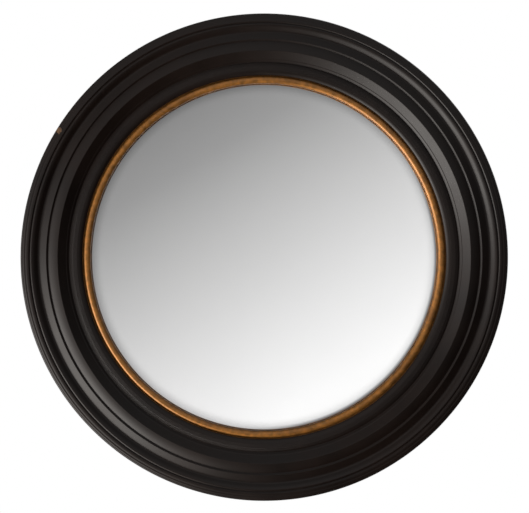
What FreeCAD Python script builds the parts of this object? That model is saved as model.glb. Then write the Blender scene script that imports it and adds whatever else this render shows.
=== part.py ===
import FreeCAD, Part

import math
import os

# A round convex wall mirror. Millimetres, real size. The front looks along -Y, +Z is up, and the origin is
# the centre of the plane the wall bumpers rest on, so the wall is the plane Y = 0 and everything lies at
# Y <= 0. Turned sections are drawn as (radius, height): the radius is measured from the mirror's axis, and
# the height is measured forward from the back face of the frame.

V = FreeCAD.Vector
AXIS = V(0, 1, 0)

# ---- overall -------------------------------------------------------------------------------------------
OUTER_RADIUS = 300.0        # widest circle of the frame
SIDE_HEIGHT = 27.9          # straight outer side, from the frame's back
BUMPER_THICK = 5.0          # stands the frame's back off the wall
BACK_ARRIS = 1.5            # eased edge between the back and the outer side

# ---- moulding, member by member from the outer side inwards --------------------------------------------
# width: inwards; rise and drop: forwards and backwards; bulge: how far the middle stands off a straight line
LIP_WIDTH = 2.9
LIP_RISE = 3.4
LIP_BULGE = 1.0
OUTER_REED_WIDTH = 2.9
OUTER_REED_RISE = 0.8
OUTER_REED_BULGE = 0.28
INNER_REED_WIDTH = 3.65
INNER_REED_RISE = 1.0
INNER_REED_BULGE = 0.28
REED_QUIRK_WIDTH = 1.5      # inner side of the inner reed, down into the V
REED_QUIRK_DROP = 1.2
RIM_SIDE_WIDTH = 2.3        # from the V up to the top of the rim
RIM_SIDE_RISE = 1.2
RIM_SIDE_BULGE = 0.3
RIM_TO_COVE = 9.2           # from the top of the rim to the bottom of the cove
RIM_LEAN = 11.5             # degrees, how the rim's round starts to fall at its top
COVE_OUTER_SLOPE = 35.0     # degrees, the straight slope from the rim's round down to the hollow
COVE_OUTER_RUN = 2.0        # width of that slope
COVE_HOLLOW = 3.2           # radius of the cove's hollow
COVE_INNER_SLOPE = 28.0     # degrees, the slope from the hollow up to the quirk
COVE_TO_QUIRK = 9.35
QUIRK_WIDTH = 2.35
QUIRK_DROP = 1.7
OVOLO_WIDTH = 11.15
OVOLO_RISE = 4.75
OVOLO_BULGE = 0.5
CREST_HALF_WIDTH = 0.6
CREST_RISE = 0.2
CREST_DROP = 0.3
SPLAY_WIDTH = 9.45
SPLAY_DROP = 6.3
LEDGE_WIDTH = 0.9           # fine step at the foot of the splay
LEDGE_DROP = 0.3
GROOVE_OUTER_WIDTH = 2.75   # V groove outside the inner flat
GROOVE_DROP = 2.1
GROOVE_INNER_WIDTH = 1.75
GROOVE_RISE = 0.9
FLAT_FALL_WIDTH = 3.55      # the flat's outer part leans to the groove
FLAT_FALL_RISE = 1.2
FLAT_WIDTH = 4.77
FLAT_RISE = 0.25
SIGHT_ROUND = 6.45          # radius that turns the flat down to the sight edge
SIGHT_SLOPE = 68.0          # degrees, where that round ends
SIGHT_LEAN = 0.15           # the upright sight edge leans inwards by this much
SIGHT_LEAN_DROP = 2.4
SIGHT_UPRIGHT = 1.4         # from there straight down to the shelf

# ---- rabbet and gilt slip ------------------------------------------------------------------------------
RABBET_STEP = 6.2           # width of the shelf behind the sight edge
STACK_CLEAR = 0.8           # slip, spacer and board in the rabbet, and slip in the sight edge
FLANGE_THICK = 2.0          # slip's flange under the shelf
BEAD_RADIUS = 4.65          # half round
BEAD_SHOULDER = 0.4         # narrow step outside the bead
BEAD_RISE = 1.3             # foot of the half round above the shelf

# ---- convex glass --------------------------------------------------------------------------------------
GLASS_CURVE = 1550.0        # radius of the front face
GLASS_THICK = 3.0
GLASS_COVER = 10.3          # how far the glass reaches under the slip
SLIP_GAP = 0.15             # slip above the glass
SILVER_THICK = 0.4
SILVER_BARE = 0.5           # bare glass round the silver's edge

# ---- parts behind the glass ----------------------------------------------------------------------------
BOARD_THICK = 4.0
STRIP_THICK = 1.2
STRIP_INSET = 0.8           # strip's inner edge outside the bead's
STRIP_EDGE = 1.0            # strip's outer edge inside the glass's
SPACER_OVERHANG = 1.7       # spacer's inner edge inside the bead's
SEAT_GAP = 0.1              # between the stacked curved faces

# ---- turn buttons --------------------------------------------------------------------------------------
BUTTON_COUNT = 6
BUTTON_INSET = 9.6          # pivot outside the rabbet's wall
BUTTON_REACH = 21.0         # pivot to tip
BUTTON_WIDTH = 12.0
BUTTON_THICK = 1.4
BUTTON_NAMES = ("right", "upper_right", "upper_left", "left", "lower_left", "lower_right")

# ---- screws --------------------------------------------------------------------------------------------
SHANK_RADIUS = 1.75
SHANK_CLEAR = 0.08          # shank in a button or a strap hole
PILOT_CLEAR = 0.05          # shank in the wood
PILOT_EXTRA = 1.0           # pilot hole beyond the screw's point
SCREW_LENGTH = 14.0         # below the head
SCREW_POINT = 2.5
HEAD_RADIUS = 3.5
HEAD_HEIGHT = 1.9
HEAD_ROUND = 1.1            # height of the domed part of the head

# ---- ring hangers --------------------------------------------------------------------------------------
HANGER_INSET = 32.0         # middle of the ring's pin outside the rabbet's wall
HANGER_ANGLE = 36.0         # degrees above the horizontal
STRAP_WIDTH = 12.0
STRAP_THICK = 1.0
STRAP_LENGTH = 46.0         # below the pin
STRAP_CORNER = 3.6          # rounded foot
HOLE_EDGE = 8.0             # lower hole above the strap's foot
HOLE_PITCH = 16.0
RING_WIRE = 1.0             # wire radius
PIN_CLEAR = 0.08
PIN_STANDOFF = 2.2          # pin axis behind the frame's back
RING_HALF_WIDTH = 10.0
RING_SIDE = 4.0             # straight side before the bow
RING_CORNER = 2.5

# ---- wall bumpers --------------------------------------------------------------------------------------
BUMPER_RADIUS = 7.0
BUMPER_TAPER = 0.8
BUMPER_INSET = 16.0         # middle of the pad inside the frame's outer side
BUMPER_ANGLES = {"upper_right": 58.0, "upper_left": 122.0, "lower_left": 238.0, "lower_right": 302.0}


# ---- drawing and turning -------------------------------------------------------------------------------
def at(radius, height):
    """A point of a turned section."""
    return V(radius, -BUMPER_THICK - height, 0)


def polar(radius, angle, height):
    """A point on the frame at an angle counted from +X up towards +Z."""
    a = math.radians(angle)
    return V(radius * math.cos(a), -BUMPER_THICK - height, radius * math.sin(a))


def line(a, b):
    return Part.LineSegment(a, b).toShape()


def arc(a, through, b):
    return Part.Arc(a, through, b).toShape()


def lines(points):
    """Straight edges through a list of points."""
    return [line(a, b) for a, b in zip(points, points[1:])]


def bowed(a, b, bulge):
    """An edge between two places of a section that runs inwards; its middle stands forward by the bulge."""
    if bulge == 0:
        return line(at(*a), at(*b))
    run = b[0] - a[0]
    rise = b[1] - a[1]
    length = math.hypot(run, rise)
    through = ((a[0] + b[0]) / 2 + bulge * rise / length, (a[1] + b[1]) / 2 - bulge * run / length)
    return arc(at(*a), at(*through), at(*b))


def circle_point(centre, radius, degrees):
    """A place on a circle of the section; 0 degrees is straight forward, positive leans outwards."""
    a = math.radians(degrees)
    return (centre[0] + radius * math.sin(a), centre[1] + radius * math.cos(a))


def round_edge(centre, radius, first, last):
    """An arc of a circle of the section from one angle to another."""
    ends = [circle_point(centre, radius, angle) for angle in (first, (first + last) / 2, last)]
    return arc(*[at(*end) for end in ends])


def turned(edges):
    """The solid that a closed section sweeps round the mirror's axis."""
    face = Part.Face(Part.Wire(edges))
    solid = face.revolve(V(0, 0, 0), AXIS, 360)
    return Part.Solid(solid.Shells[0]) if solid.ShapeType != "Solid" else solid


def cylinder(radius, start, length):
    """A cylinder along the mirror's axis direction, from start forward."""
    return Part.makeCylinder(radius, length, start, V(0, -1, 0))


# ---- the turned moulding -------------------------------------------------------------------------------
def members_along(edges, place, members):
    """Adds members, each a width inwards, a rise and a bulge, and returns where the last one ends."""
    for width, rise, bulge in members:
        end = (place[0] - width, place[1] + rise)
        edges.append(bowed(place, end, bulge))
        place = end
    return place


def rim_and_cove(edges, top):
    """The rim's round, the slope into the cove, the cove's hollow and the slope up to the quirk."""
    lean = math.radians(RIM_LEAN)
    outer = math.radians(COVE_OUTER_SLOPE)
    inner = math.radians(COVE_INNER_SLOPE)
    round_width = RIM_TO_COVE - COVE_OUTER_RUN - COVE_HOLLOW * math.sin(outer)
    rim_round = round_width / (math.sin(outer) - math.sin(lean))
    rim_centre = (top[0] + rim_round * math.sin(lean), top[1] - rim_round * math.cos(lean))
    edges.append(round_edge(rim_centre, rim_round, -RIM_LEAN, -COVE_OUTER_SLOPE))
    place = circle_point(rim_centre, rim_round, -COVE_OUTER_SLOPE)
    place = members_along(edges, place, [(COVE_OUTER_RUN, -COVE_OUTER_RUN * math.tan(outer), 0)])
    cove_centre = (place[0] - COVE_HOLLOW * math.sin(outer), place[1] + COVE_HOLLOW * math.cos(outer))
    edges.append(round_edge(cove_centre, COVE_HOLLOW, 180 - COVE_OUTER_SLOPE, 180 + COVE_INNER_SLOPE))
    foot = circle_point(cove_centre, COVE_HOLLOW, 180 + COVE_INNER_SLOPE)
    run = COVE_TO_QUIRK - COVE_HOLLOW * math.sin(inner)
    return members_along(edges, foot, [(run, run * math.tan(inner), 0)])


def moulding_front():
    """The front from the outer side to the sight edge, and the place where that edge turns down."""
    edges = []
    place = members_along(edges, (OUTER_RADIUS, SIDE_HEIGHT), [
        (LIP_WIDTH, LIP_RISE, LIP_BULGE),
        (OUTER_REED_WIDTH, OUTER_REED_RISE, OUTER_REED_BULGE),
        (INNER_REED_WIDTH, INNER_REED_RISE, INNER_REED_BULGE),
        (REED_QUIRK_WIDTH, -REED_QUIRK_DROP, 0),
        (RIM_SIDE_WIDTH, RIM_SIDE_RISE, RIM_SIDE_BULGE)])
    place = rim_and_cove(edges, place)
    place = members_along(edges, place, [
        (QUIRK_WIDTH, -QUIRK_DROP, 0),
        (OVOLO_WIDTH, OVOLO_RISE, OVOLO_BULGE),
        (CREST_HALF_WIDTH, CREST_RISE, 0),
        (CREST_HALF_WIDTH, -CREST_DROP, 0),
        (SPLAY_WIDTH, -SPLAY_DROP, 0),
        (LEDGE_WIDTH, -LEDGE_DROP, 0),
        (GROOVE_OUTER_WIDTH, -GROOVE_DROP, 0),
        (GROOVE_INNER_WIDTH, GROOVE_RISE, 0),
        (FLAT_FALL_WIDTH, FLAT_FALL_RISE, 0),
        (FLAT_WIDTH, FLAT_RISE, 0)])
    centre = (place[0], place[1] - SIGHT_ROUND)
    edges.append(round_edge(centre, SIGHT_ROUND, 0, -SIGHT_SLOPE))
    place = circle_point(centre, SIGHT_ROUND, -SIGHT_SLOPE)
    return edges, members_along(edges, place, [(SIGHT_LEAN, -SIGHT_LEAN_DROP, 0)])


FRONT_EDGES, SIGHT_TURN = moulding_front()

# ---- places that follow from the moulding --------------------------------------------------------------
SIGHT_RADIUS = SIGHT_TURN[0]
SHELF_HEIGHT = SIGHT_TURN[1] - SIGHT_UPRIGHT
RABBET_RADIUS = SIGHT_RADIUS + RABBET_STEP
STACK_RADIUS = RABBET_RADIUS - STACK_CLEAR
SLIP_STEP = SIGHT_RADIUS - STACK_CLEAR
BEAD_OUTER = SLIP_STEP - BEAD_SHOULDER
BEAD_INNER = BEAD_OUTER - 2 * BEAD_RADIUS
GLASS_RADIUS = BEAD_INNER + GLASS_COVER
GLASS_RIM = SHELF_HEIGHT - FLANGE_THICK - SLIP_GAP
GLASS_TOP = GLASS_RIM + GLASS_CURVE - math.sqrt(GLASS_CURVE ** 2 - GLASS_RADIUS ** 2)
BUTTON_PIVOT = RABBET_RADIUS + BUTTON_INSET
HANGER_PIN = polar(RABBET_RADIUS + HANGER_INSET, HANGER_ANGLE, -PIN_STANDOFF)
STRAP_HOLES = (STRAP_LENGTH - HOLE_EDGE - HOLE_PITCH, STRAP_LENGTH - HOLE_EDGE)
BUMPER_CIRCLE = OUTER_RADIUS - BUMPER_INSET


def frame_ring():
    """The turned wooden moulding with its rabbet and the pilot holes of all its screws."""
    edges = lines([at(RABBET_RADIUS, 0), at(OUTER_RADIUS - BACK_ARRIS, 0), at(OUTER_RADIUS, BACK_ARRIS),
                   at(OUTER_RADIUS, SIDE_HEIGHT)])
    edges += FRONT_EDGES
    edges += lines([at(*SIGHT_TURN), at(SIGHT_RADIUS, SHELF_HEIGHT), at(RABBET_RADIUS, SHELF_HEIGHT),
                    at(RABBET_RADIUS, 0)])
    pilots = []
    for seat, clamped in screw_seats():
        pilots.append(cylinder(SHANK_RADIUS + PILOT_CLEAR, seat, SCREW_LENGTH - clamped + PILOT_EXTRA))
    return turned(edges).cut(Part.makeCompound(pilots))


# ---- glass, slip and the stack behind ------------------------------------------------------------------
def glass_height(radius, behind=0.0):
    """Height of the glass's front face at a radius, or of a face of the same centre a distance behind it."""
    curve = GLASS_CURVE - behind
    return GLASS_TOP - GLASS_CURVE + math.sqrt(curve ** 2 - radius ** 2)


def dome(radius, behind, thick):
    """A domed disc whose two faces share the glass's centre and whose edge is square to them."""
    centre = (0, GLASS_TOP - GLASS_CURVE)
    outer = GLASS_CURVE - behind
    inner = outer - thick
    lean = math.degrees(math.asin(radius / outer))
    front_end = at(*circle_point(centre, outer, lean))
    back_end = at(*circle_point(centre, inner, lean))
    front_middle = at(*circle_point(centre, outer, 0))
    back_middle = at(*circle_point(centre, inner, 0))
    return turned([round_edge(centre, outer, 0, lean), line(front_end, back_end),
                   round_edge(centre, inner, lean, 0), line(back_middle, front_middle)])


def convex_glass():
    return dome(GLASS_RADIUS, 0, GLASS_THICK)


def silvering():
    """The silver coat with its protective paint, on the hollow side of the glass."""
    return dome(GLASS_RADIUS - SILVER_BARE, GLASS_THICK, SILVER_THICK)


def gilt_slip():
    """The gilt ring between the frame and the glass: a flange under the sight edge and a half-round bead."""
    base = SHELF_HEIGHT + BEAD_RISE
    foot_inner = glass_height(BEAD_INNER) + SLIP_GAP
    foot_outer = SHELF_HEIGHT - FLANGE_THICK
    edges = lines([at(BEAD_INNER, base), at(BEAD_INNER, foot_inner), at(GLASS_RADIUS, foot_outer),
                   at(STACK_RADIUS, foot_outer), at(STACK_RADIUS, SHELF_HEIGHT), at(SLIP_STEP, SHELF_HEIGHT),
                   at(SLIP_STEP, base), at(BEAD_OUTER, base)])
    edges.append(round_edge((BEAD_OUTER - BEAD_RADIUS, base), BEAD_RADIUS, 90, -90))
    return turned(edges)


def cushion_strip():
    """The soft strip between the silvered edge and the rim spacer."""
    inner = BEAD_INNER + STRIP_INSET
    outer = GLASS_RADIUS - STRIP_EDGE
    near = GLASS_THICK + SILVER_THICK + SEAT_GAP
    far = near + STRIP_THICK
    corners = [at(inner, glass_height(inner, near)), at(outer, glass_height(outer, near)),
               at(outer, glass_height(outer, far)), at(inner, glass_height(inner, far))]
    return turned(lines(corners + corners[:1]))


def rim_spacer():
    """The ring that carries the glass forward of the backing board."""
    inner = BEAD_INNER - SPACER_OVERHANG
    behind = GLASS_THICK + SILVER_THICK + SEAT_GAP + STRIP_THICK + SEAT_GAP
    low = glass_height(GLASS_RADIUS, behind)
    corners = [at(inner, BOARD_THICK), at(STACK_RADIUS, BOARD_THICK), at(STACK_RADIUS, low),
               at(GLASS_RADIUS, low), at(inner, glass_height(inner, behind))]
    return turned(lines(corners + corners[:1]))


def backing_board():
    return cylinder(STACK_RADIUS, at(0, 0), BOARD_THICK)


# ---- screws and turn buttons ---------------------------------------------------------------------------
def button_angles():
    return [360.0 * i / BUTTON_COUNT for i in range(BUTTON_COUNT)]


def screw_seats():
    """Every screw's point on the frame's back and the thickness it clamps: buttons first, then straps."""
    seats = [(polar(BUTTON_PIVOT, angle, 0), BUTTON_THICK) for angle in button_angles()]
    for side in (-1, 1):
        for drop in STRAP_HOLES:
            seats.append((V(side * HANGER_PIN.x, -BUMPER_THICK, HANGER_PIN.z - drop), STRAP_THICK))
    return seats


def screw(seat, clamped):
    """A pan-head wood screw, its head on the piece that it clamps."""
    shank = SCREW_LENGTH - SCREW_POINT
    side = HEAD_HEIGHT - HEAD_ROUND
    points = [(0, -SCREW_LENGTH), (SHANK_RADIUS, -shank), (SHANK_RADIUS, 0), (HEAD_RADIUS, 0),
              (HEAD_RADIUS, side)]
    section = [V(r, y, 0) for r, y in points]
    top = V(0, HEAD_HEIGHT, 0)
    # the domed part is a cap of a ball whose centre is on the screw's axis
    ball = (HEAD_RADIUS ** 2 + HEAD_ROUND ** 2) / (2 * HEAD_ROUND)
    half = HEAD_RADIUS / 2
    cap = arc(section[-1], V(half, HEAD_HEIGHT - ball + math.sqrt(ball ** 2 - half ** 2), 0), top)
    solid = turned(lines(section) + [cap, line(top, section[0])])
    solid.translate(seat + V(0, clamped, 0))
    return solid


def screws(seats):
    return Part.makeCompound([screw(seat, clamped) for seat, clamped in seats])


def turn_button(angle):
    """A flat pressed button, round at both ends, that lies across the frame's back and the board's edge."""
    half = BUTTON_WIDTH / 2
    pivot = V(BUTTON_PIVOT, -BUMPER_THICK, 0)
    tip = pivot - V(BUTTON_REACH - half, 0, 0)
    up = V(0, 0, half)
    edges = [arc(pivot + up, pivot + V(half, 0, 0), pivot - up), line(pivot - up, tip - up),
             arc(tip - up, tip - V(half, 0, 0), tip + up), line(tip + up, pivot + up)]
    plate = Part.Face(Part.Wire(edges)).extrude(V(0, BUTTON_THICK, 0))
    plate = plate.cut(Part.makeCylinder(SHANK_RADIUS + SHANK_CLEAR, BUTTON_THICK, pivot, AXIS))
    plate.rotate(V(0, 0, 0), AXIS, -angle)
    return plate


# ---- hangers and bumpers -------------------------------------------------------------------------------
def hanger_strap(side):
    """A strap folded round the ring's pin and screwed to the frame's back below it."""
    half = STRAP_WIDTH / 2
    pin_end = V(side * HANGER_PIN.x - half, HANGER_PIN.y, HANGER_PIN.z)
    across = V(1, 0, 0)
    foot = V(pin_end.x, -BUMPER_THICK, HANGER_PIN.z - STRAP_LENGTH)
    plate = Part.makeBox(STRAP_WIDTH, STRAP_THICK, STRAP_LENGTH, foot)
    middle = foot.x + half
    foot_edges = []
    for edge in plate.Edges:
        centre = edge.CenterOfMass
        if abs(centre.z - foot.z) < 0.01 and abs(abs(centre.x - middle) - half) < 0.01:
            foot_edges.append(edge)
    plate = plate.makeFillet(STRAP_CORNER, foot_edges)
    strap = Part.makeCylinder(PIN_STANDOFF, STRAP_WIDTH, pin_end, across).fuse(plate).removeSplitter()
    strap = strap.cut(Part.makeCylinder(RING_WIRE + PIN_CLEAR, STRAP_WIDTH, pin_end, across))
    for drop in STRAP_HOLES:
        hole = V(middle, -BUMPER_THICK, HANGER_PIN.z - drop)
        strap = strap.cut(Part.makeCylinder(SHANK_RADIUS + SHANK_CLEAR, STRAP_THICK, hole, AXIS))
    return strap


def hanger_ring(side):
    """A D-shaped wire ring: its straight side is the pin, and its bow hangs down over the strap."""
    c = RING_CORNER
    w = RING_HALF_WIDTH
    turn = c * (1 - math.sqrt(0.5))

    def p(x, down):
        return V(side * HANGER_PIN.x + x, HANGER_PIN.y, HANGER_PIN.z - down)

    edges = [line(p(c - w, 0), p(w - c, 0)), arc(p(w - c, 0), p(w - turn, turn), p(w, c)),
             line(p(w, c), p(w, RING_SIDE)), arc(p(w, RING_SIDE), p(0, RING_SIDE + w), p(-w, RING_SIDE)),
             line(p(-w, RING_SIDE), p(-w, c)), arc(p(-w, c), p(turn - w, turn), p(c - w, 0))]
    section = Part.Wire(Part.makeCircle(RING_WIRE, p(c - w, 0), V(1, 0, 0)))
    return Part.Wire(edges).makePipeShell([section], True, False)


def wall_bumper(angle):
    """A soft round pad stuck to the frame's back; its free face rests on the wall."""
    start = polar(BUMPER_CIRCLE, angle, 0)
    return Part.makeCone(BUMPER_RADIUS, BUMPER_RADIUS - BUMPER_TAPER, BUMPER_THICK, start, AXIS)


def main():
    os.makedirs("parts", exist_ok=True)
    seats = screw_seats()
    pieces = {
        "frame_ring": frame_ring(),
        "gilt_slip": gilt_slip(),
        "convex_glass": convex_glass(),
        "silvering": silvering(),
        "cushion_strip": cushion_strip(),
        "rim_spacer": rim_spacer(),
        "backing_board": backing_board(),
        "turn_button_screws": screws(seats[:BUTTON_COUNT]),
        "hanger_screws": screws(seats[BUTTON_COUNT:]),
        "hanger_strap_left": hanger_strap(-1),
        "hanger_strap_right": hanger_strap(1),
        "hanger_ring_left": hanger_ring(-1),
        "hanger_ring_right": hanger_ring(1),
    }
    for name, angle in zip(BUTTON_NAMES, button_angles()):
        pieces["turn_button_" + name] = turn_button(angle)
    for name, angle in BUMPER_ANGLES.items():
        pieces["wall_bumper_" + name] = wall_bumper(angle)
    for node, shape in pieces.items():
        shape.exportStep("parts/" + node + ".step")
        print(node, shape.ShapeType, len(shape.Solids), round(shape.Volume, 2), shape.isValid())


main()
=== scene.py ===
import math

import bpy
import numpy as np
from mathutils import Matrix, Vector


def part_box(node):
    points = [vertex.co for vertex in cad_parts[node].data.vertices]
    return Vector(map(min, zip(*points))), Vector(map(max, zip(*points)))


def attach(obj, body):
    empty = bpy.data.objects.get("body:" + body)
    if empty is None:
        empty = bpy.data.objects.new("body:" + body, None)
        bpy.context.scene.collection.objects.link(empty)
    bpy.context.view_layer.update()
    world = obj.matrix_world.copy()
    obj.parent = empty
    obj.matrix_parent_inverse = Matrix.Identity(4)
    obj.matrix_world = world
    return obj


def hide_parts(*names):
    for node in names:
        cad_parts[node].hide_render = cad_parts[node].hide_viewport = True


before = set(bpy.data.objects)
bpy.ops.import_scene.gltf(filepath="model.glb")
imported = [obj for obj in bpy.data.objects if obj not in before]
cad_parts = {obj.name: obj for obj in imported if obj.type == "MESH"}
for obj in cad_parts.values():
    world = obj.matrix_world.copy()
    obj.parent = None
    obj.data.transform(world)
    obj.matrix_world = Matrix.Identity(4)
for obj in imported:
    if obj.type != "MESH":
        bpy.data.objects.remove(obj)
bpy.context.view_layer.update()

# A round convex wall mirror: a turned black frame, a gilt bead and a silvered dome of glass, with the board,
# buttons, hangers and pads on its back. Metres. The front looks along -Y, +Z is up, and the wall is Y = 0.

bl_info = {
    "name": "Convex wall mirror",
    "version": (1, 0, 0),
    "blender": (4, 5, 0),
    "location": "3D View > Sidebar > Mirror",
    "description": "Builds the turned frame, gilt bead, domed glass and back of a round convex mirror",
    "category": "Object",
}

MM = 0.001
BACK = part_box("frame_ring")[1].y            # the frame's back face
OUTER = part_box("frame_ring")[1].x           # the frame's outer radius
BODY = "mirror"

# ---- the turned section, member by member from the outside in: width inwards, rise forward, bulge -------
LIP_START = 27.9 * MM
LIP = (2.9 * MM, 3.4 * MM, 1.0 * MM)
OUTER_REED = (2.9 * MM, 0.8 * MM, 0.28 * MM)
INNER_REED = (4.25 * MM, 1.0 * MM, 0.28 * MM)
REED_QUIRK = (1.5 * MM, -1.2 * MM, 0.0)
RIM_OUTSIDE = (2.3 * MM, 1.2 * MM, 0.3 * MM)
RIM_TO_COVE = 8.6 * MM
RIM_LEAN = math.radians(11.5)
COVE_OUT_SLOPE = math.radians(35)
COVE_OUT_RUN = 2.7 * MM
COVE_RADIUS = 3.2 * MM
COVE_IN_SLOPE = math.radians(27)
COVE_TO_QUIRK = 9.35 * MM
QUIRK = (2.35 * MM, -1.594 * MM, 0.0)
OVOLO = (11.15 * MM, 4.75 * MM, 0.42 * MM)
CREST_OUTSIDE = (0.6 * MM, 0.2 * MM, 0.0)
CREST_INSIDE = (0.6 * MM, -0.3 * MM, 0.0)
SPLAY = (9.45 * MM, -6.3 * MM, 0.0)
LEDGE = (0.9 * MM, -0.3 * MM, 0.0)
GROOVE_OUTSIDE = (2.75 * MM, -2.1 * MM, 0.0)
GROOVE_INSIDE = (1.75 * MM, 0.9 * MM, 0.0)
FLAT_OUTSIDE = (3.55 * MM, 1.2 * MM, 0.0)
FLAT = (4.77 * MM, 0.25 * MM, 0.0)

# the sight edge: its place is the solid's, a round with a short foot and an upright; its form is one longer
# round that ends less steep
SIGHT_ROUND = 6.45 * MM
SIGHT_SLOPE = math.radians(68)
SIGHT_FOOT = (0.15 * MM, -2.4 * MM)
SIGHT_UPRIGHT = 1.4 * MM
SIGHT_EASE = math.radians(44)

RABBET = 6.2 * MM
BACK_ARRIS = 1.5 * MM
BACK_FACE_SLACK = 0.05 * MM                 # how near a face counts as on the back
RABBET_SLACK = 0.1 * MM                     # how near a face counts as in the rabbet

# ---- gilt bead, glass and silver ------------------------------------------------------------------------
SLIP_CLEAR = 0.8 * MM
BEAD_SHOULDER = 0.4 * MM
BEAD_RADIUS = 4.65 * MM
BEAD_RISE = 1.3 * MM
BEAD_SOFT = 0.15 * MM
GLASS_CURVE = 1550.0 * MM
GLASS_THICK = 3.0 * MM
GLASS_COVER = 10.3 * MM
FLANGE = 2.0 * MM
SLIP_GAP = 0.15 * MM
SILVER_THICK = 0.4 * MM
SILVER_GAP = 0.05 * MM
SILVER_BARE = 0.5 * MM

# ---- marks on the lacquer -------------------------------------------------------------------------------
LINES_PER_METRE = 2600.0
LINE_DEPTH = 0.06 * MM
FLAT_BAND = (229.5 * MM, 240.0 * MM)        # from the sight edge to the groove, where the tool left ridges
FLAT_BAND_FADE = 1.5 * MM
RIDGE_GAIN = 60.0                           # how much deeper the lines are there
CHIP_TURN = math.radians(148.3)
CHIP_RADIUS = 296.8 * MM
CHIP_HEIGHT = 31.0 * MM
CHIP_PLACE = (CHIP_RADIUS * math.cos(CHIP_TURN), BACK - CHIP_HEIGHT, CHIP_RADIUS * math.sin(CHIP_TURN))
CHIP_EDGE = 0.5 * MM
CHIP_RAGGED = 9 * MM
CHIP_DEPTH = 0.4 * MM
CHIP_WOOD = ((0.07, 0.032, 0.014), (0.27, 0.15, 0.075))

# ---- colours of the back, linear ------------------------------------------------------------------------
RAW_WOOD = ((0.22, 0.12, 0.06), (0.42, 0.26, 0.14))
RAW_WOOD_CLOUD = (0.3, 0.19, 0.1)
RAW_WOOD_STRETCH = (1.0, 1.0, 9.0)          # the grain runs along X and Y
GILDING_GROUND = (0.22, 0.085, 0.025)
CLEAR_GLASS = (0.99, 0.992, 0.991, 1.0)
BACKING_PAINT = ((0.1, 0.1, 0.11), (0.16, 0.16, 0.17))
GREY_FELT = (0.1, 0.1, 0.1)
PAD_FELT = (0.06, 0.055, 0.05)
ZINC = (0.62, 0.62, 0.61)
BRIGHT_WIRE = (0.7, 0.7, 0.69)
BRASS = (0.62, 0.44, 0.17)

# ---- studio: places are angles off the mirror's axis and round it from +X up, in degrees ----------------
FLOOR_HALF = 3.0
KEY_PLACE = (66.5, 217.0)
KEY_DISTANCE = 3.3
KEY_SIZE = (3.0, 1.14)
KEY_COLOUR = (1.0, 0.955, 0.90)
BACK_LAMP_PLACE = (170.0, 80.0)
BACK_LAMP_DISTANCE = 3.2
BACK_LAMP_SIZE = (1.7, 1.7)
BACK_LAMP_POWER = 40.0
BACK_LAMP_COLOUR = (1.0, 0.98, 0.95)
CAMERA_SHIFT = (0.3 * MM, 0.8 * MM)
CAMERA_SENSOR = 36.0
CAMERA_REACH = 50.0

# ---- world ----------------------------------------------------------------------------------------------
DIFFUSE_LEVEL = 0.35
# what the gloss sees: place, reach of the even middle, reach of the whole, strength
GLOWS = (
    (80, 198, 5, 52, 1.25),                 # round the key lamp
    (37, 83, 5, 60, 0.41),                  # above
    (125, 45, 15, 48, 1.1),                 # behind, at the upper right
    (180, 0, 35, 85, 0.8),                  # straight behind
)
# what the glass shows: level in the middle, and its change to the right and upwards
SHADE_MIDDLE = 0.695
SHADE_RIGHT = 0.82
SHADE_UP = -1.36
SHADE_DARK_END = (0.55, 0.16)               # slower fall at the dark end: share and offset
SHADE_MOST = 1.12
RIM_FALL = (0.9475, 0.9560)                 # cosines off the axis between which the rim darkens
RIM_LEVEL = 0.5
LINE_SIDE = (0.12, 0.3)                     # lower right, where a dark line follows the bead
LINE_SIDE_UP = 0.6
LINE_FALL = (0.9500, 0.9520)
LINE_STRENGTH = 0.75


# ---- the user's sizes, colours and studio ---------------------------------------------------------------
class MirrorSizes(bpy.types.PropertyGroup):
    """Sizes that a user would change; the rest are the solids'."""
    edge_soft: bpy.props.FloatProperty(
        name="Soft edges", description="How far the sharp edges of the turned frame are rounded", unit="LENGTH",
        min=0, max=0.5 * MM, precision=5, default=0.25 * MM)
    chip_reach: bpy.props.FloatProperty(
        name="Chip", description="Radius of the chip in the lacquer, 0 for none", unit="LENGTH", min=0,
        precision=5, default=3.8 * MM)
    frame_steps: bpy.props.IntProperty(
        name="Frame steps", description="Number of steps round the frame and the glass", min=48, max=480,
        default=360)
    bead_steps: bpy.props.IntProperty(
        name="Bead steps", description="Number of steps round the gilt bead", min=48, max=720, default=480)


class MirrorFinishes(bpy.types.PropertyGroup):
    """Colours and finishes that a user would change."""
    lacquer: bpy.props.FloatVectorProperty(
        name="Lacquer", description="Colour of the black lacquer", subtype="COLOR", size=3, min=0, max=1,
        default=(0.0085, 0.0030, 0.0012))
    lacquer_gloss: bpy.props.FloatProperty(
        name="Lacquer roughness", description="Roughness of the satin lacquer", subtype="FACTOR", min=0, max=1,
        default=0.44)
    gilding: bpy.props.FloatVectorProperty(
        name="Gilding", description="Colour of the gold leaf", subtype="COLOR", size=3, min=0, max=1,
        default=(0.58, 0.24, 0.042))
    silver: bpy.props.FloatVectorProperty(
        name="Silver", description="Colour of the silvering", subtype="COLOR", size=3, min=0, max=1,
        default=(0.942, 0.936, 0.937))
    board: bpy.props.FloatVectorProperty(
        name="Board", description="Colour of the backing board", subtype="COLOR", size=3, min=0, max=1,
        default=(0.36, 0.22, 0.12))
    floor: bpy.props.FloatVectorProperty(
        name="Floor", description="Colour of the studio floor", subtype="COLOR", size=3, min=0, max=1,
        default=(0.8, 0.8, 0.8))


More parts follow.
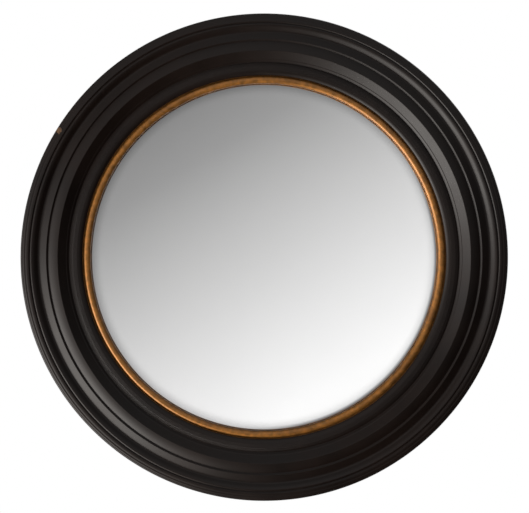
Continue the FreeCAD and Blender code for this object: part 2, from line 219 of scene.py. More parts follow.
class MirrorStudio(bpy.types.PropertyGroup):
    """The camera and the lamps."""
    camera_distance: bpy.props.FloatProperty(
        name="Camera distance", description="From the camera to the mirror's rim", unit="LENGTH", min=0.5,
        default=5.0)
    frame_width: bpy.props.FloatProperty(
        name="View width", description="Width that the picture takes in at the rim", unit="LENGTH", min=0.1,
        default=0.6512)
    key_power: bpy.props.FloatProperty(
        name="Key lamp", description="Power of the soft lamp at the lower left, in watts", min=0, default=85.0)
    floor_drop: bpy.props.FloatProperty(
        name="Floor", description="How far the floor lies below the mirror's middle", unit="LENGTH", min=0.31,
        default=3.0)


# ---- sections: points of a profile, as rows of (radius, height above the frame's back) ------------------
def straight(start, end, spacing):
    """Evenly spaced points from start to end, without the last one: start plus a share of the way to end."""
    a = np.asarray(start, float)
    b = np.asarray(end, float)
    count = max(1, int(math.ceil(np.linalg.norm(b - a) / spacing)))
    t = np.arange(count)[:, None] / count
    return a + (b - a) * t


def bowed(start, end, bulge, spacing):
    """Points on the arc of a circle from start to end whose middle stands off the chord by bulge, without the
    last. Half the turn is twice the angle whose tangent is the bulge over half the chord."""
    if abs(bulge) < 1e-9:
        return straight(start, end, spacing)
    a = np.asarray(start, float)
    b = np.asarray(end, float)
    chord = np.linalg.norm(b - a)
    half = 2 * math.atan(2 * abs(bulge) / chord)
    radius = chord / (2 * math.sin(half))
    count = max(3, int(math.ceil(2 * half * radius / spacing)))
    t = np.linspace(-half, half, count + 1)[:-1]
    along = (b - a) / chord
    out = np.array([along[1], -along[0]]) * math.copysign(1, bulge)
    middle = (a + b) / 2 + out * (abs(bulge) - radius)
    return middle + radius * (np.sin(t)[:, None] * along + np.cos(t)[:, None] * out)


def turn_round(centre, radius, first, last, spacing):
    """Points on a circle from angle first to last, without the last: the centre plus radius times the sine
    outwards and the cosine forward."""
    count = max(3, int(math.ceil(abs(last - first) * radius / spacing)))
    t = np.linspace(first, last, count + 1)[:-1]
    return np.asarray(centre) + radius * np.stack([np.sin(t), np.cos(t)], 1)


def member(pieces, place, size, spacing):
    """Adds one member of the moulding that runs inwards from place by its width and forward by its rise, as a
    straight line or an arc, and returns where it ends."""
    width, rise, bulge = size
    end = (place[0] - width, place[1] + rise)
    pieces.append(bowed(place, end, bulge, spacing))
    return end


def softened(profile, reach, least=math.radians(14)):
    """A closed profile with each corner sharper than least cut back by reach on both sides, and rounded
    between by a quadratic curve that has the corner as its middle point."""
    before = profile - np.roll(profile, 1, 0)
    after = np.roll(profile, -1, 0) - profile
    len_before = np.linalg.norm(before, axis=1, keepdims=True)
    len_after = np.linalg.norm(after, axis=1, keepdims=True)
    before = before / len_before
    after = after / len_after
    turn = np.arccos(np.clip((before * after).sum(1), -1, 1))
    cut = np.minimum(reach, 0.4 * np.minimum(len_before, len_after))
    start, corner, end = ((profile + step)[:, None] for step in (-before * cut, 0.0, after * cut))
    t = np.linspace(0, 1, 4)[None, :, None]
    curves = (1 - t) ** 2 * start + 2 * t * (1 - t) * corner + t ** 2 * end
    plain = turn < least
    curves[plain, 0] = profile[plain]
    kept = np.ones(curves.shape[:2], bool)
    kept[plain, 1:] = False
    return curves[kept]


def moulding_front(spacing):
    """The front of the turned frame from its outer side to the shelf, the sight radius and the shelf's height:
    straight and bowed members end to end, with three circles between them."""
    pieces = []
    place = (OUTER, LIP_START)
    for size in (LIP, OUTER_REED, INNER_REED, REED_QUIRK, RIM_OUTSIDE):
        place = member(pieces, place, size, spacing)
    # rim: a round that falls from its lean to the cove's outer slope; cove: an arc tangent to both slopes
    out_sine, lean_sine = math.sin(COVE_OUT_SLOPE), math.sin(RIM_LEAN)
    round_width = RIM_TO_COVE - COVE_OUT_RUN - COVE_RADIUS * out_sine
    rim_radius = round_width / (out_sine - lean_sine)
    rim_centre = (place[0] + rim_radius * lean_sine, place[1] - rim_radius * math.cos(RIM_LEAN))
    pieces.append(turn_round(rim_centre, rim_radius, -RIM_LEAN, -COVE_OUT_SLOPE, spacing))
    place = (rim_centre[0] - rim_radius * out_sine, rim_centre[1] + rim_radius * math.cos(COVE_OUT_SLOPE))
    outer_slope = (COVE_OUT_RUN, -COVE_OUT_RUN * math.tan(COVE_OUT_SLOPE), 0.0)
    place = member(pieces, place, outer_slope, spacing)
    cove_centre = (place[0] - COVE_RADIUS * out_sine, place[1] + COVE_RADIUS * math.cos(COVE_OUT_SLOPE))
    first, last = math.pi - COVE_OUT_SLOPE, math.pi + COVE_IN_SLOPE
    pieces.append(turn_round(cove_centre, COVE_RADIUS, first, last, spacing))
    foot = np.asarray(cove_centre) + COVE_RADIUS * np.array([math.sin(last), math.cos(last)])
    run = foot[0] - (cove_centre[0] - COVE_TO_QUIRK)
    place = member(pieces, tuple(foot), (run, run * math.tan(COVE_IN_SLOPE), 0.0), spacing)
    for size in (QUIRK, OVOLO, CREST_OUTSIDE, CREST_INSIDE, SPLAY, LEDGE, GROOVE_OUTSIDE, GROOVE_INSIDE,
                 FLAT_OUTSIDE, FLAT):
        place = member(pieces, place, size, spacing)
    # sight edge: a round whose width over the sine of its last slope is its radius, and an upright to the shelf
    run = SIGHT_ROUND * math.sin(SIGHT_SLOPE) + SIGHT_FOOT[0]
    drop = SIGHT_ROUND * (1 - math.cos(SIGHT_SLOPE)) - SIGHT_FOOT[1] + SIGHT_UPRIGHT
    sight, shelf = place[0] - run, place[1] - drop
    ease = run / math.sin(SIGHT_EASE)
    pieces.append(turn_round((place[0], place[1] - ease), ease, 0, -SIGHT_EASE, spacing / 2))
    corner = (sight, place[1] - ease * (1 - math.cos(SIGHT_EASE)))
    pieces.append(straight(corner, (sight, shelf), 1.5 * MM))
    return np.concatenate(pieces), sight, shelf


SIGHT, SHELF = moulding_front(1 * MM)[1:]
BEAD_OUT = SIGHT - SLIP_CLEAR - BEAD_SHOULDER
BEAD_IN = BEAD_OUT - 2 * BEAD_RADIUS
GLASS_RADIUS = BEAD_IN + GLASS_COVER
RABBET_RADIUS = SIGHT + RABBET
STACK_RADIUS = RABBET_RADIUS - SLIP_CLEAR
GLASS_RIM = SHELF - FLANGE - SLIP_GAP
GLASS_TOP = GLASS_RIM + GLASS_CURVE - math.sqrt(GLASS_CURVE ** 2 - GLASS_RADIUS ** 2)


def frame_profile(edge_soft):
    """The closed section of the turned frame: the front, the shelf, the rabbet, the back and the outer side."""
    corners = [(SIGHT, SHELF), (RABBET_RADIUS, SHELF), (RABBET_RADIUS, 0), (OUTER - BACK_ARRIS, 0),
               (OUTER, BACK_ARRIS), (OUTER, LIP_START)]
    spacings = np.array([2, 3, 8, 3, 2]) * MM
    runs = [straight(a, b, spacing) for a, b, spacing in zip(corners, corners[1:], spacings)]
    return softened(np.concatenate([moulding_front(0.8 * MM)[0]] + runs), edge_soft)


def glass_height(radius):
    """Height of the glass's front at a radius: its top, less the fall of a circle of the glass's curve."""
    return GLASS_TOP - GLASS_CURVE + math.sqrt(GLASS_CURVE ** 2 - radius ** 2)


def bead_profile():
    """The closed section of the gilt slip: a foot that follows the glass, a step under the shelf, and a
    half-round above."""
    foot_in = glass_height(BEAD_IN) + SLIP_GAP
    foot_out = SHELF - FLANGE
    base = SHELF + BEAD_RISE
    step = SIGHT - SLIP_CLEAR
    corners = [(BEAD_IN, base), (BEAD_IN, foot_in), (GLASS_RADIUS, foot_out), (STACK_RADIUS, foot_out),
               (STACK_RADIUS, SHELF), (step, SHELF), (step, base), (BEAD_OUT, base)]
    runs = [straight(a, b, 1 * MM) for a, b in zip(corners, corners[1:])]
    middle = ((BEAD_IN + BEAD_OUT) / 2, base)
    runs.append(turn_round(middle, BEAD_RADIUS, math.pi / 2, -math.pi / 2, 0.35 * MM))
    return softened(np.concatenate(runs), BEAD_SOFT)


def dome_profile(radius, curve, top, thick, spacing):
    """A domed sheet's section from the axis over the front, round the edge and back to the axis: two arcs
    about one centre, their radii apart by the thickness."""
    lean = math.asin(radius / curve)
    t = np.linspace(0, lean, int(radius / spacing))
    centre = top - curve
    front = np.stack([curve * np.sin(t), centre + curve * np.cos(t)], 1)
    inner = curve - thick
    back = np.stack([inner * np.sin(t), centre + inner * np.cos(t)], 1)[::-1]
    return np.concatenate([front, back])


# ---- meshes ---------------------------------------------------------------------------------------------
def signed_volume(points, faces):
    """Six times the volume that a closed surface of triangles or quads holds, negative if they face inwards:
    the sum of each triangle's first corner times the cross product of the other two."""
    total = 0.0
    for second in range(1, faces.shape[1] - 1):
        a, b, c = (points[faces[:, k]] for k in (0, second, second + 1))
        total += np.einsum("ij,ij->i", a, np.cross(b, c)).sum()
    return total


def mesh_piece(name, points, *faces, sharp=math.radians(35)):
    """A mesh object at the origin with its points in place, faces turned outward, smooth but for edges that
    turn by more than sharp."""
    if sum(signed_volume(points, part) for part in faces) < 0:
        faces = [part[:, ::-1] for part in faces]
    mesh = bpy.data.meshes.new(name)
    mesh.from_pydata(points.tolist(), [], [row for part in faces for row in part.tolist()])
    mesh.validate()
    mesh.shade_smooth()
    mesh.set_sharp_from_angle(angle=sharp)
    piece = bpy.data.objects.new(name, mesh)
    bpy.context.scene.collection.objects.link(piece)
    return piece


def turned_points(profile, around):
    """Surface of revolution about the mirror's axis: the profile's point of radius r and height h goes, at
    angle a, to x = r cos a, y = back less h, z = r sin a."""
    a = np.arange(around) * (2 * math.pi / around)
    r, h = profile[:, 0], profile[:, 1]
    x = r[None, :] * np.cos(a)[:, None]
    z = r[None, :] * np.sin(a)[:, None]
    y = np.broadcast_to(BACK - h, x.shape)
    return np.stack([x, y, z], -1)


def turned_ring(name, profile, around):
    """A closed profile turned round the mirror's axis: a ring, with its grid wrapped both ways."""
    grid = turned_points(profile, around)
    index = np.arange(grid.shape[0] * grid.shape[1]).reshape(grid.shape[:2])
    right = np.roll(index, -1, 0)
    quads = np.stack([index, right, np.roll(right, -1, 1), np.roll(index, -1, 1)], -1).reshape(-1, 4)
    return mesh_piece(name, grid.reshape(-1, 3), quads)


def turned_dome(name, profile, around):
    """A profile that starts and ends on the mirror's axis, turned round it: quads between, and a fan of
    triangles to one point at each end."""
    grid = turned_points(profile[1:-1], around)
    n, m = grid.shape[:2]
    ends = np.array([[0.0, BACK - profile[0, 1], 0.0], [0.0, BACK - profile[-1, 1], 0.0]])
    points = np.concatenate([grid.reshape(-1, 3), ends])
    index = np.arange(n * m).reshape(n, m)
    right = np.roll(index, -1, 0)
    quads = np.stack([index[:, :-1], right[:, :-1], right[:, 1:], index[:, 1:]], -1).reshape(-1, 4)
    start = np.stack([right[:, 0], index[:, 0], np.full(n, n * m)], -1)
    end = np.stack([index[:, -1], right[:, -1], np.full(n, n * m + 1)], -1)
    return mesh_piece(name, points, quads, np.concatenate([start, end]))


def use_second_material(mesh, chosen):
    """Gives the faces that are chosen the mesh's second material."""
    mesh.polygons.foreach_set("material_index", chosen.astype(np.int32))


# ---- materials ------------------------------------------------------------------------------------------
class Nodes:
    """A node tree being built, with short ways to add and join nodes."""

    def __init__(self, tree):
        self.tree = tree

    def node(self, kind, **settings):
        made = self.tree.nodes.new(kind)
        for key, value in settings.items():
            setattr(made, key, value)
        return made

    def join(self, output, socket):
        self.tree.links.new(output, socket)

    def math(self, operation, *values):
        """A sum of values that are numbers or sockets."""
        made = self.node("ShaderNodeMath", operation=operation)
        for socket, value in zip(made.inputs, values):
            if isinstance(value, (int, float)):
                socket.default_value = value
            else:
                self.join(value, socket)
        return made.outputs[0]

    def spread(self, value, low, high, to_low=0.0, to_high=1.0, **settings):
        """A value's range moved to another range, and held inside it."""
        made = self.node("ShaderNodeMapRange", **settings)
        for socket, number in zip(list(made.inputs)[1:5], (low, high, to_low, to_high)):
            socket.default_value = number
        self.join(value, made.inputs[0])
        return made.outputs[0]

    def eased(self, value, low, high, to_low=0.0, to_high=1.0):
        """As spread, with a soft start and end."""
        return self.spread(value, low, high, to_low, to_high, interpolation_type="SMOOTHSTEP")


class Finish(Nodes):
    """A node material being built on the principled shader."""

    def __init__(self, name):
        self.material = bpy.data.materials.new(name)
        self.material.use_nodes = True
        super().__init__(self.material.node_tree)
        self.shader = self.tree.nodes["Principled BSDF"]

    def put(self, **values):
        """Sets plain values on the shader's own sockets."""
        for key, value in values.items():
            self.shader.inputs[key.replace("_", " ")].default_value = value

    def place(self):
        """The point's own place."""
        return self.node("ShaderNodeTexCoord").outputs["Object"]

    def radius(self):
        """Distance from the mirror's axis: the root of x squared plus z squared."""
        split = self.node("ShaderNodeSeparateXYZ")
        self.join(self.place(), split.inputs[0])
        squares = [self.math("POWER", split.outputs[k], 2.0) for k in (0, 2)]
        return self.math("SQRT", self.math("ADD", *squares))

    def noise(self, scale, detail, rough=0.55, vector=None, along=None):
        """Noise in space, or along one value."""
        made = self.node("ShaderNodeTexNoise")
        made.inputs["Scale"].default_value = scale
        made.inputs["Detail"].default_value = detail
        made.inputs["Roughness"].default_value = rough
        if along is not None:
            made.noise_dimensions = "1D"
            self.join(along, made.inputs["W"])
        else:
            self.join(vector or self.place(), made.inputs["Vector"])
        return made.outputs["Fac"]

    def blend(self, factor, first, second):
        """Two colours mixed by a factor."""
        made = self.node("ShaderNodeMix", data_type="RGBA")
        for socket, value in ((made.inputs[0], factor), (made.inputs[6], first), (made.inputs[7], second)):
            if isinstance(value, bpy.types.NodeSocket):
                self.join(value, socket)
            else:
                socket.default_value = (*value, 1.0)
        return made.outputs[2]

    def bump(self, height, strength, distance, under=None):
        """A normal bent by a height, over another bend if one is given."""
        made = self.node("ShaderNodeBump")
        made.inputs["Strength"].default_value = strength
        made.inputs["Distance"].default_value = distance
        self.join(height, made.inputs["Height"])
        if under is not None:
            self.join(under, made.inputs["Normal"])
        return made.outputs[0]

    def colour(self, output):
        self.join(output, self.shader.inputs["Base Color"])

    def rough(self, output):
        self.join(output, self.shader.inputs["Roughness"])

    def normal(self, output):
        self.join(output, self.shader.inputs["Normal"])


def shade(colour, factor):
    """A colour made lighter or darker."""
    return tuple(min(1.0, c * factor) for c in colour)


def lacquer_finish(colour, roughness, chip_reach):
    """Satin black lacquer over turned wood: concentric turning lines under it, faint brush variation, ridges on
    the flat, and a chip on the outer lip down to the wood."""
    f = Finish("black_lacquer")
    r = f.radius()
    lines = f.noise(LINES_PER_METRE, 2.0, 0.6, along=r)
    cloud = f.noise(14.0, 4.0, 0.6)
    paint = f.blend(f.spread(cloud, 0.3, 0.7), shade(colour, 0.75), shade(colour, 1.35))
    mixed = f.math("ADD", f.math("MULTIPLY", lines, 0.5), f.math("MULTIPLY", cloud, 0.5))
    satin = f.spread(mixed, 0.3, 0.7, roughness - 0.05, roughness + 0.06)
    # the flat's ridges: the same lines, made deeper between two radii
    inner, outer = FLAT_BAND
    flat = f.math("MULTIPLY", f.spread(r, inner, inner + FLAT_BAND_FADE),
                  f.spread(r, outer - FLAT_BAND_FADE, outer, 1.0, 0.0))
    ridges = f.math("MULTIPLY", lines, f.math("ADD", f.math("MULTIPLY", flat, RIDGE_GAIN), 1.0))
    # the chip: all within a ragged distance of its middle
    reach = f.node("ShaderNodeVectorMath", operation="DISTANCE")
    f.join(f.place(), reach.inputs[0])
    reach.inputs[1].default_value = CHIP_PLACE
    ragged = f.math("MULTIPLY", f.math("SUBTRACT", f.noise(230.0, 3.0, 0.6), 0.5), CHIP_RAGGED)
    distance = f.math("ADD", reach.outputs["Value"], ragged)
    chip = f.spread(distance, chip_reach - CHIP_EDGE, chip_reach, 1.0, 0.0)
    fibres = f.noise(700.0, 4.0, 0.7)
    wood = f.blend(f.spread(fibres, 0.35, 0.65), *CHIP_WOOD)
    f.colour(f.blend(chip, paint, wood))
    f.rough(f.math("MAXIMUM", satin, f.math("MULTIPLY", chip, 0.8)))
    f.put(IOR=1.5)
    raised = f.math("MULTIPLY", fibres, f.math("MULTIPLY", chip, 0.4))
    sunk = f.bump(f.math("SUBTRACT", raised, chip), 0.6, CHIP_DEPTH)
    f.normal(f.bump(ridges, 0.25, LINE_DEPTH, under=sunk))
    return f.material


def raw_wood_finish():
    """Unpainted turned wood on the frame's back, its grain level."""
    f = Finish("raw_wood")
    stretch = f.node("ShaderNodeMapping")
    stretch.inputs["Scale"].default_value = RAW_WOOD_STRETCH
    f.join(f.place(), stretch.inputs[0])
    grain = f.noise(60.0, 6.0, 0.65, vector=stretch.outputs[0])
    cloud = f.noise(9.0, 3.0)
    base = f.blend(f.spread(grain, 0.3, 0.7), *RAW_WOOD)
    f.colour(f.blend(f.spread(cloud, 0.35, 0.7, 0.0, 0.5), base, RAW_WOOD_CLOUD))
    f.put(Roughness=0.7)
    f.normal(f.bump(grain, 0.3, 0.2 * MM))
    return f.material


def gilding_finish(colour):
    """Antique gold leaf over red-brown ground: mottled, a little worn, darker where it lies thin, waxed."""
    f = Finish("antique_gilding")
    mottle = f.noise(160.0, 5.0, 0.65)
    patches = f.noise(34.0, 3.0, 0.6)
    leaf = f.blend(f.spread(mottle, 0.35, 0.65), shade(colour, 0.62), shade(colour, 1.15))
    f.colour(f.blend(f.spread(patches, 0.52, 0.72, 0.0, 0.55), leaf, GILDING_GROUND))
    f.rough(f.spread(mottle, 0.3, 0.7, 0.48, 0.62))
    f.put(Metallic=0.75, Coat_Weight=1.0, Coat_Roughness=0.34)
    f.normal(f.bump(mottle, 0.35, 0.25 * MM))
    return f.material


def glass_finish():
    """Clear polished glass."""
    f = Finish("clear_glass")
    haze = f.noise(40.0, 2.0)
    f.rough(f.spread(haze, 0.0, 1.0, 0.0, 0.004))
    f.put(Transmission_Weight=1.0, IOR=1.5, Base_Color=CLEAR_GLASS)
    return f.material


def silver_finish(colour):
    """The silver coat seen through the glass."""
    f = Finish("silvering")
    cloud = f.noise(7.0, 2.0)
    f.colour(f.blend(f.spread(cloud, 0.3, 0.7), colour, shade(colour, 0.985)))
    f.put(Metallic=1.0, Roughness=0.0)
    return f.material


def backing_paint_finish():
    """Grey paint that seals the silver."""
    f = Finish("backing_paint")
    f.colour(f.blend(f.noise(30.0, 4.0), *BACKING_PAINT))
    f.put(Roughness=0.6)
    return f.material


def board_finish(colour):
    """Pressed fibreboard: fine flecks, a faint cloud, matt."""
    f = Finish("fibreboard")
    flecks = f.noise(900.0, 4.0, 0.7)
    cloud = f.noise(12.0, 4.0, 0.6)
    base = f.blend(f.spread(flecks, 0.3, 0.7), shade(colour, 0.7), shade(colour, 1.25))
    f.colour(f.blend(f.spread(cloud, 0.3, 0.75, 0.0, 0.4), base, shade(colour, 0.75)))
    f.put(Roughness=0.78)
    f.normal(f.bump(flecks, 0.2, 0.1 * MM))
    return f.material


def plated_finish(name, colour, roughness):
    """Plated steel with fine rolling marks and dull spots."""
    f = Finish(name)
    spots = f.noise(260.0, 4.0, 0.6)
    cloud = f.noise(60.0, 3.0)
    f.colour(f.blend(f.spread(cloud, 0.35, 0.7), colour, shade(colour, 0.78)))
    f.rough(f.spread(spots, 0.3, 0.7, roughness - 0.07, roughness + 0.1))
    f.put(Metallic=1.0)
    f.normal(f.bump(spots, 0.12, 0.08 * MM))
    return f.material


def felt_finish(name, colour):
    """Matt soft pad with a fine nap."""
    f = Finish(name)
    nap = f.noise(1400.0, 3.0, 0.7)
    f.colour(f.blend(f.spread(nap, 0.25, 0.75), shade(colour, 0.6), shade(colour, 1.5)))
    f.put(Roughness=0.95, Sheen_Weight=0.25)
    f.normal(f.bump(nap, 0.5, 0.3 * MM))
    return f.material


def floor_finish(colour):
    """Plain pale floor with a faint cloud."""
    f = Finish("studio_floor")
    cloud = f.noise(2.0, 2.0)
    f.colour(f.blend(f.spread(cloud, 0.3, 0.7), shade(colour, 0.98), colour))
    f.put(Roughness=0.8)
    return f.material


def dress(piece, *materials):
    """Gives a piece these materials, in place of any it has."""
    piece.data.materials.clear()
    for material in materials:
        piece.data.materials.append(material)


def settle(piece, body, slot, *nodes):
    """Lets a finished piece ride on its body and stand for its nodes."""
    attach(piece, body)
    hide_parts(*nodes)


# ---- studio ---------------------------------------------------------------------------------------------
def towards(off_axis, turn):
    """Direction that leans off the mirror's axis by one angle, at another round it from +X up, in degrees."""
    lean, around = math.radians(off_axis), math.radians(turn)
    return Vector((math.sin(lean) * math.cos(around), -math.cos(lean), math.sin(lean) * math.sin(around)))


def soft_lamp(name, place, distance, size, power, colour):
    """A rectangular soft lamp that faces the mirror's middle; its first size runs round the mirror's axis."""
    light = bpy.data.lights.new(name, "AREA")
    light.shape = "RECTANGLE"
    light.size, light.size_y = size
    light.energy = power
    light.color = colour
    lamp = bpy.data.objects.new(name, light)
    away = towards(*place)
    turn = math.radians(place[1])
    round_axis = Vector((-math.sin(turn), 0, math.cos(turn)))
    lamp.matrix_world = Matrix.Translation(away * distance) @ Matrix((
        round_axis, away.cross(round_axis), away)).transposed().to_4x4()
    lamp.visible_transmission = False
    bpy.context.scene.collection.objects.link(lamp)
    return lamp


def glass_view(n, direction):
    """What the glass shows: a shade that rises evenly from the upper left to the lower right and falls off
    outside the front, with a dark line along the bead at the lower right."""
    x, y, z = direction
    slope = n.math("ADD", n.math("MULTIPLY", x, SHADE_RIGHT), n.math("MULTIPLY", z, SHADE_UP))
    slope = n.math("ADD", slope, SHADE_MIDDLE)
    share, offset = SHADE_DARK_END
    dark_end = n.math("ADD", n.math("MULTIPLY", slope, share), offset)
    slope = n.math("MINIMUM", n.math("MAXIMUM", slope, dark_end), SHADE_MOST)
    front = n.math("MULTIPLY", y, -1.0)
    rim = n.eased(front, *RIM_FALL, RIM_LEVEL, 1.0)
    lower_right = n.math("SUBTRACT", x, n.math("MULTIPLY", z, LINE_SIDE_UP))
    side = n.eased(lower_right, *LINE_SIDE, 0.0, LINE_STRENGTH)
    line = n.math("MULTIPLY", side, n.eased(front, *LINE_FALL, 1.0, 0.0))
    return n.math("MULTIPLY", n.math("MULTIPLY", slope, rim), n.math("SUBTRACT", 1.0, line))


def glow(n, aim, off_axis, turn, inner, outer, strength):
    """A round soft light in the world: full within one angle of its middle, gone past another."""
    nearness = n.node("ShaderNodeVectorMath", operation="DOT_PRODUCT")
    n.join(aim, nearness.inputs[0])
    nearness.inputs[1].default_value = towards(off_axis, turn)
    reach = [math.cos(math.radians(angle)) for angle in (outer, inner)]
    return n.eased(nearness.outputs["Value"], *reach, 0.0, strength)


def studio_world():
    """White to the camera, a shade to the glass, soft glows to the gloss and one low level to the rest."""
    world = bpy.data.worlds.new("studio")
    world.use_nodes = True
    n = Nodes(world.node_tree)
    n.tree.nodes.clear()
    aim = n.node("ShaderNodeTexCoord").outputs["Generated"]
    way = n.node("ShaderNodeSeparateXYZ")
    n.join(aim, way.inputs[0])
    seen = glass_view(n, way.outputs)
    gloss = glow(n, aim, *GLOWS[0])
    for more in GLOWS[1:]:
        gloss = n.math("ADD", gloss, glow(n, aim, *more))
    path = n.node("ShaderNodeLightPath")
    through = path.outputs["Is Transmission Ray"]
    only_gloss = n.math("MULTIPLY", path.outputs["Is Glossy Ray"], n.math("SUBTRACT", 1.0, through))
    light = n.math("ADD", n.math("MULTIPLY", through, seen), n.math("MULTIPLY", only_gloss, gloss))
    light = n.math("ADD", light, path.outputs["Is Camera Ray"])
    light = n.math("ADD", light, n.math("MULTIPLY", path.outputs["Is Diffuse Ray"], DIFFUSE_LEVEL))
    background = n.node("ShaderNodeBackground")
    background.inputs["Color"].default_value = (1, 1, 1, 1)
    n.join(light, background.inputs["Strength"])
    n.join(background.outputs[0], n.node("ShaderNodeOutputWorld").inputs[0])
    return world


def studio_floor(drop, colour):
    """A flat square below the mirror, which lamps and camera see and the glass doesn't."""
    low = -drop
    corners = np.array([(-1, -1, low), (1, -1, low), (1, 1, low), (-1, 1, low)]) * (FLOOR_HALF, FLOOR_HALF, 1)
    floor = mesh_piece("studio_floor", corners, np.array([[0, 1, 2, 3]]))
    dress(floor, floor_finish(colour))
    floor.visible_glossy = False
    floor.visible_transmission = False
    floor.visible_shadow = False


def studio_camera(distance, width):
    """A camera straight in front whose picture is as wide as width at the frame's rim."""
    camera = bpy.data.cameras.new("camera")
    view = bpy.data.objects.new("camera", camera)
    right, up = CAMERA_SHIFT
    view.location = (right, BACK - LIP_START - distance, up)
    view.rotation_euler = (math.pi / 2, 0, 0)
    camera.sensor_width = CAMERA_SENSOR
    camera.lens = CAMERA_SENSOR * distance / width
    camera.clip_end = CAMERA_REACH
    bpy.context.scene.collection.objects.link(view)
    return view


# ---- operators ------------------------------------------------------------------------------------------
class MIRROR_OT_frame_ring(bpy.types.Operator):
    """Turn the black frame"""
    bl_idname = "mirror.frame_ring"
    bl_label = "Turned frame"

    def execute(self, context):
        sizes = context.scene.mirror_sizes
        finishes = context.scene.mirror_finishes
        piece = turned_ring("frame_moulding", frame_profile(sizes.edge_soft), sizes.frame_steps)
        lacquer = lacquer_finish(finishes.lacquer, finishes.lacquer_gloss, sizes.chip_reach)
        dress(piece, lacquer, raw_wood_finish())
        # the back face and the rabbet are bare wood
        mesh = piece.data
        centres = np.zeros(len(mesh.polygons) * 3)
        mesh.polygons.foreach_get("center", centres)
        x, y, z = centres.reshape(-1, 3).T
        in_rabbet = (np.hypot(x, z) < RABBET_RADIUS + RABBET_SLACK) & (y > BACK - SHELF + RABBET_SLACK)
        use_second_material(mesh, (y > BACK - BACK_FACE_SLACK) | in_rabbet)
        settle(piece, BODY, "black_lacquer", "frame_ring")
        return {"FINISHED"}


class MIRROR_OT_gilt_bead(bpy.types.Operator):
    """Turn the gilt bead"""
    bl_idname = "mirror.gilt_bead"
    bl_label = "Gilt bead"

    def execute(self, context):
        piece = turned_ring("gilt_bead_ring", bead_profile(), context.scene.mirror_sizes.bead_steps)
        dress(piece, gilding_finish(context.scene.mirror_finishes.gilding))
        settle(piece, BODY, "gilt", "gilt_slip")
        return {"FINISHED"}


class MIRROR_OT_glass(bpy.types.Operator):
    """Make the domed glass and its silver"""
    bl_idname = "mirror.glass"
    bl_label = "Domed glass"

    def execute(self, context):
        around = context.scene.mirror_sizes.frame_steps
        sheet = dome_profile(GLASS_RADIUS, GLASS_CURVE, GLASS_TOP, GLASS_THICK, 4 * MM)
        glass = turned_dome("domed_glass", sheet, around)
        dress(glass, glass_finish())
        settle(glass, BODY, "clear_glass", "convex_glass")
        curve = GLASS_CURVE - GLASS_THICK - SILVER_GAP
        top = GLASS_TOP - GLASS_THICK - SILVER_GAP
        skin = dome_profile(GLASS_RADIUS - SILVER_BARE, curve, top, SILVER_THICK - SILVER_GAP, 4 * MM)
        silver = turned_dome("silver_skin", skin, around)
        dress(silver, silver_finish(context.scene.mirror_finishes.silver), backing_paint_finish())
        # the faces that look towards the wall are painted
        mesh = silver.data
        normals = np.zeros(len(mesh.polygons) * 3)
        mesh.polygons.foreach_get("normal", normals)
        use_second_material(mesh, normals[1::3] > 0)
        settle(silver, BODY, "silver", "silvering")
        return {"FINISHED"}


class MIRROR_OT_back(bpy.types.Operator):
    """Finish the board, spacer and strip behind the glass"""
    bl_idname = "mirror.back"
    bl_label = "Backing"

    def execute(self, context):
        board = board_finish(context.scene.mirror_finishes.board)
        for node in ("backing_board", "rim_spacer"):
            dress(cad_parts[node], board)
        dress(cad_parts["cushion_strip"], felt_finish("grey_felt", GREY_FELT))
        return {"FINISHED"}


class MIRROR_OT_hardware(bpy.types.Operator):
    """Finish the buttons, hangers, screws and pads"""
    bl_idname = "mirror.hardware"
    bl_label = "Hardware"

    def execute(self, context):
        zinc = plated_finish("zinc_plate", ZINC, 0.36)
        wire = plated_finish("bright_wire", BRIGHT_WIRE, 0.24)
        brass = plated_finish("brass_plate", BRASS, 0.33)
        pad = felt_finish("pad_felt", PAD_FELT)
        for name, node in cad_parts.items():
            if name.startswith("hanger_ring"):
                dress(node, wire)
            elif name.startswith("turn_button_") and name != "turn_button_screws":
                dress(node, brass)
            elif name.startswith(("hanger_", "turn_button_screws")):
                dress(node, zinc)
            elif name.startswith("wall_bumper"):
                dress(node, pad)
        return {"FINISHED"}


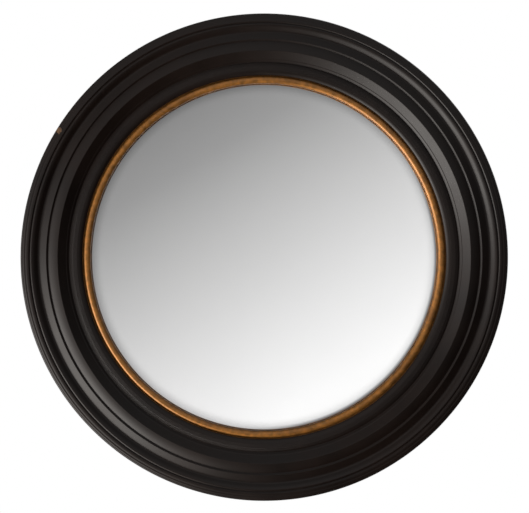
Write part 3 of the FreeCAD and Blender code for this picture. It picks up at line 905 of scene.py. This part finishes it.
class MIRROR_OT_stage(bpy.types.Operator):
    """Set the floor, lamps, world and camera"""
    bl_idname = "mirror.stage"
    bl_label = "Stage"

    def execute(self, context):
        scene = context.scene
        studio = scene.mirror_studio
        studio_floor(studio.floor_drop, scene.mirror_finishes.floor)
        soft_lamp("key_lamp", KEY_PLACE, KEY_DISTANCE, KEY_SIZE, studio.key_power, KEY_COLOUR)
        behind = soft_lamp("back_lamp", BACK_LAMP_PLACE, BACK_LAMP_DISTANCE, BACK_LAMP_SIZE, BACK_LAMP_POWER,
                           BACK_LAMP_COLOUR)
        behind.visible_camera = False
        behind.visible_glossy = False
        scene.world = studio_world()
        scene.camera = studio_camera(studio.camera_distance, studio.frame_width)
        scene.view_settings.view_transform = "Standard"
        return {"FINISHED"}


OPERATORS = (MIRROR_OT_frame_ring, MIRROR_OT_gilt_bead, MIRROR_OT_glass, MIRROR_OT_back, MIRROR_OT_hardware,
             MIRROR_OT_stage)


class MIRROR_PT_panel(bpy.types.Panel):
    """Lists the mirror's sizes, finishes, studio and operators"""
    bl_idname = "MIRROR_PT_panel"
    bl_label = "Convex mirror"
    bl_space_type = "VIEW_3D"
    bl_region_type = "UI"
    bl_category = "Mirror"

    def draw(self, context):
        scene = context.scene
        for group in (scene.mirror_sizes, scene.mirror_finishes, scene.mirror_studio):
            for key in group.__annotations__:
                self.layout.prop(group, key)
        for operator in OPERATORS:
            self.layout.operator(operator.bl_idname)


CLASSES = (MirrorSizes, MirrorFinishes, MirrorStudio, *OPERATORS, MIRROR_PT_panel)


def register():
    for item in CLASSES:
        bpy.utils.register_class(item)
    bpy.types.Scene.mirror_sizes = bpy.props.PointerProperty(type=MirrorSizes)
    bpy.types.Scene.mirror_finishes = bpy.props.PointerProperty(type=MirrorFinishes)
    bpy.types.Scene.mirror_studio = bpy.props.PointerProperty(type=MirrorStudio)


def unregister():
    del bpy.types.Scene.mirror_studio
    del bpy.types.Scene.mirror_finishes
    del bpy.types.Scene.mirror_sizes
    for item in reversed(CLASSES):
        bpy.utils.unregister_class(item)


def main():
    register()
    for operator in OPERATORS:
        group, name = operator.bl_idname.split(".")
        getattr(getattr(bpy.ops, group), name)()


if __name__ == "__main__":
    main()
